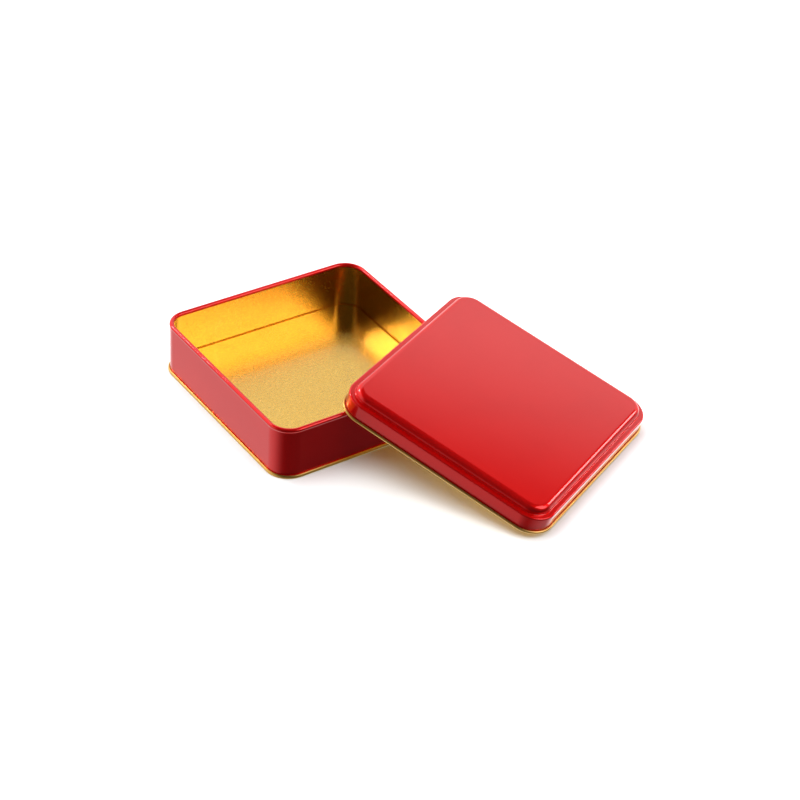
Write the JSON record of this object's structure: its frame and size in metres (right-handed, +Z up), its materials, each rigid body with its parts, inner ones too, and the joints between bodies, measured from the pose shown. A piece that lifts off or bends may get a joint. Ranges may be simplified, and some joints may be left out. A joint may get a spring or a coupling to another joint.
{
  "type": "square storage tin",
  "caption": "Square sheet-metal tin lacquered on the outside and inside: an open tray with a rolled rim and a stepped lid leaning on it.",
  "frame": {"origin": "centre of the ring-shaped foot of the tray, on the ground plane", "axes": "+Z up, out of the open tray; +X and +Y along the tray's sides"},
  "size_m": [0.1917, 0.2213, 0.0431],
  "materials": {
    "red_lacquer": "gloss red lacquer on the outside, clear gold lacquer on the inside",
    "gold_lacquer": "clear gold lacquer over tinplate, semi-gloss"
  },
  "bodies": {
    "tray": {"body_wall": "red_lacquer", "bottom_panel": "gold_lacquer"},
    "lid": {"lid": "red_lacquer"}
  },
  "joints": [
    {"name": "lid_lift", "type": "slide", "parent": "tray", "child": "lid", "axis": [0, 0, 1], "range_m": [0, 0.06]}
  ]
}
